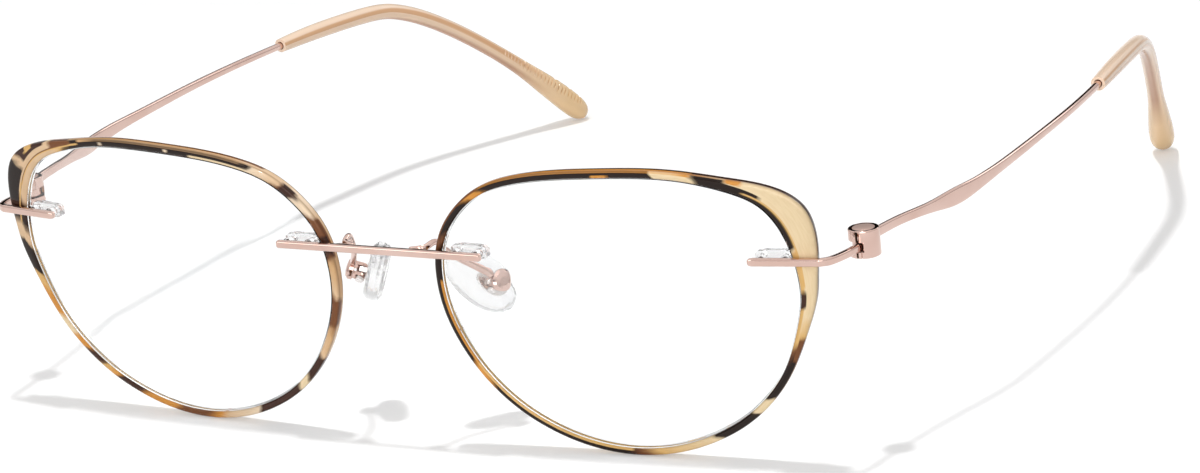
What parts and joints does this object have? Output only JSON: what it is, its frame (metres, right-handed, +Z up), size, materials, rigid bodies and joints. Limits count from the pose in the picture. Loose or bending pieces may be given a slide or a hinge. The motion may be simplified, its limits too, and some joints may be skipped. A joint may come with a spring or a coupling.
{
  "type": "cat eye glasses",
  "caption": "Cat eye glasses with thin acetate rims round clear lenses, a straight metal bridge bar, rocking nose pads and folding metal temples with acetate tips.",
  "frame": {"origin": "middle of the base rectangle, on the surface that the rim bottoms and the temple tips rest on, temples open", "axes": "+X to the wearer's left, the front faces -Y and the temples reach to +Y, +Z up"},
  "size_m": [0.1422, 0.1484, 0.0415],
  "materials": {
    "rose_gold": "polished rose gold plating",
    "tortoise_acetate": "polished tortoise acetate",
    "clear_lens": "clear polished plastic",
    "clear_silicone": "clear soft plastic",
    "beige_acetate": "translucent beige acetate",
    "steel": "plain steel"
  },
  "bodies": {
    "front": {"bridge_bar": "rose_gold", "left_rim": "tortoise_acetate", "right_rim": "tortoise_acetate", "left_lens": "clear_lens", "right_lens": "clear_lens", "left_endpiece": "rose_gold", "right_endpiece": "rose_gold", "left_bridge_bushing": "clear_silicone", "right_bridge_bushing": "clear_silicone", "left_temple_bushing": "clear_silicone", "right_temple_bushing": "clear_silicone", "left_pad_arm": "rose_gold", "right_pad_arm": "rose_gold", "left_pad_stirrup": "rose_gold", "right_pad_stirrup": "rose_gold", "left_pad_screw": "steel", "right_pad_screw": "steel"},
    "left_pad": {"left_nose_pad": "clear_silicone", "left_pad_insert": "steel"},
    "right_pad": {"right_nose_pad": "clear_silicone", "right_pad_insert": "steel"},
    "left_temple": {"left_hinge_barrel": "rose_gold", "left_hinge_screw": "rose_gold", "left_temple_arm": "rose_gold", "left_temple_tip": "beige_acetate"},
    "right_temple": {"right_hinge_barrel": "rose_gold", "right_hinge_screw": "rose_gold", "right_temple_arm": "rose_gold", "right_temple_tip": "beige_acetate"}
  },
  "joints": [
    {"name": "left_temple_fold", "type": "hinge", "parent": "front", "child": "left_temple", "pos_m": [0.066, -0.0595, 0.02887], "axis": [0, 0, 1], "range_deg": [0, 86]},
    {"name": "right_temple_fold", "type": "hinge", "parent": "front", "child": "right_temple", "pos_m": [-0.066, -0.0595, 0.02887], "axis": [0, 0, -1], "range_deg": [0, 78]},
    {"name": "left_nose_pad_rock", "type": "hinge", "parent": "front", "child": "left_pad", "pos_m": [0.01085, -0.06153, 0.02071], "axis": [-0.0947, -0.7713, -0.6294], "range_deg": [-12, 12]},
    {"name": "right_nose_pad_rock", "type": "hinge", "parent": "front", "child": "right_pad", "pos_m": [-0.01085, -0.06153, 0.02071], "axis": [0.0947, -0.7713, -0.6294], "range_deg": [-12, 12]}
  ]
}
